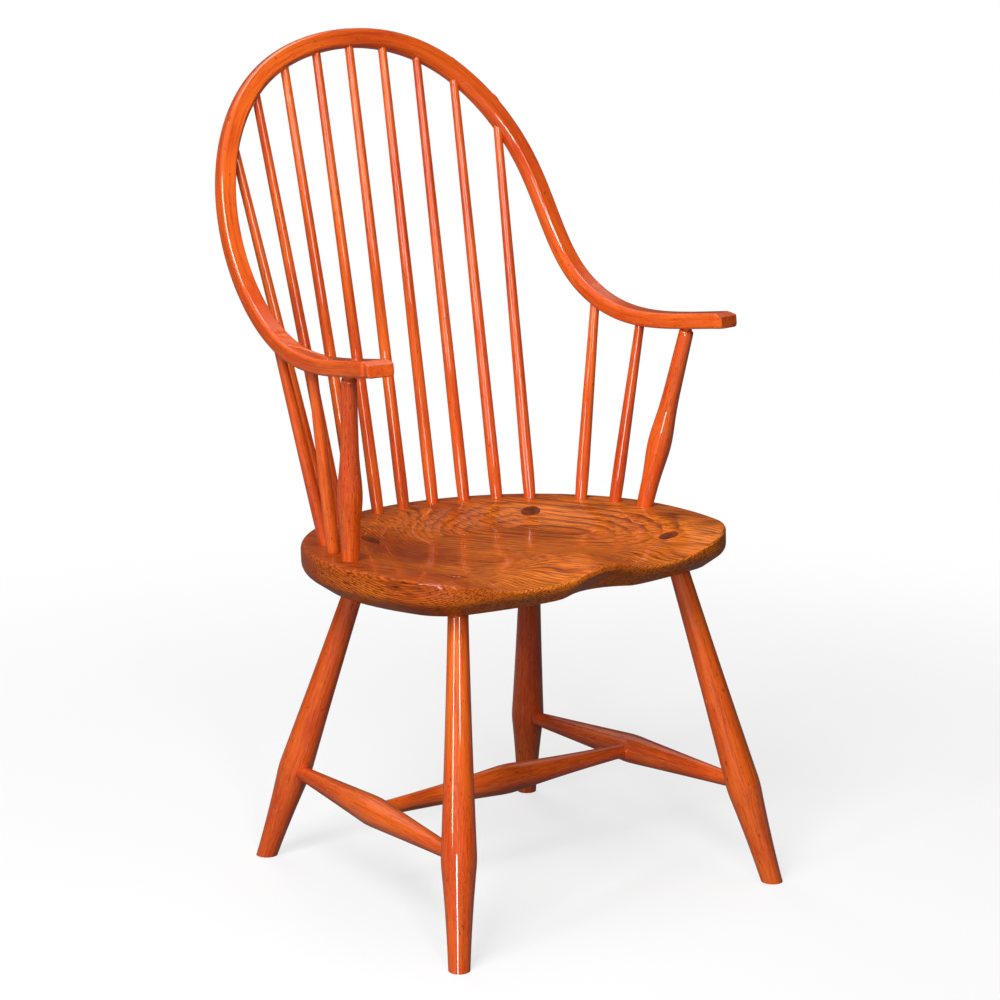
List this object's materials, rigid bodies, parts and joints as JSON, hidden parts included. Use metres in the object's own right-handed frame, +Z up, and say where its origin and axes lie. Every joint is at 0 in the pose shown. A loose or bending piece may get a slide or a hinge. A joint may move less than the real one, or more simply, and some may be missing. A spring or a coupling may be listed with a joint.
{
  "type": "continuous arm windsor chair",
  "caption": "Windsor armchair with a continuous bent bow forming back hoop and arms, turned spindles, a saddled plank seat and splayed, swelled legs joined by stretchers.",
  "frame": {"origin": "on the floor, under the middle of the chair's overall box", "axes": "+Z up, -Y the way the chair faces, +X to the right as seen from in front"},
  "size_m": [0.559, 0.5923, 1.039],
  "materials": {
    "frame_wood": "orange-red stain, semi-gloss",
    "seat_wood": "warm brown, satin varnish",
    "wedge_wood": "dark end grain, satin varnish"
  },
  "bodies": {
    "root": {"seat": "seat_wood", "bow": "frame_wood", "back_spindle_1": "frame_wood", "back_spindle_2": "frame_wood", "back_spindle_3": "frame_wood", "back_spindle_4": "frame_wood", "back_spindle_5": "frame_wood", "back_spindle_6": "frame_wood", "back_spindle_7": "frame_wood", "back_spindle_8": "frame_wood", "back_spindle_9": "frame_wood", "arm_spindle_left_rear": "frame_wood", "arm_spindle_left_front": "frame_wood", "arm_spindle_right_rear": "frame_wood", "arm_spindle_right_front": "frame_wood", "arm_post_left": "frame_wood", "arm_post_right": "frame_wood", "leg_front_left": "frame_wood", "leg_front_right": "frame_wood", "leg_rear_left": "frame_wood", "leg_rear_right": "frame_wood", "side_stretcher_left": "frame_wood", "side_stretcher_right": "frame_wood", "centre_stretcher": "frame_wood", "bow_wedges": "frame_wood", "leg_wedges": "wedge_wood"}
  },
  "joints": []
}
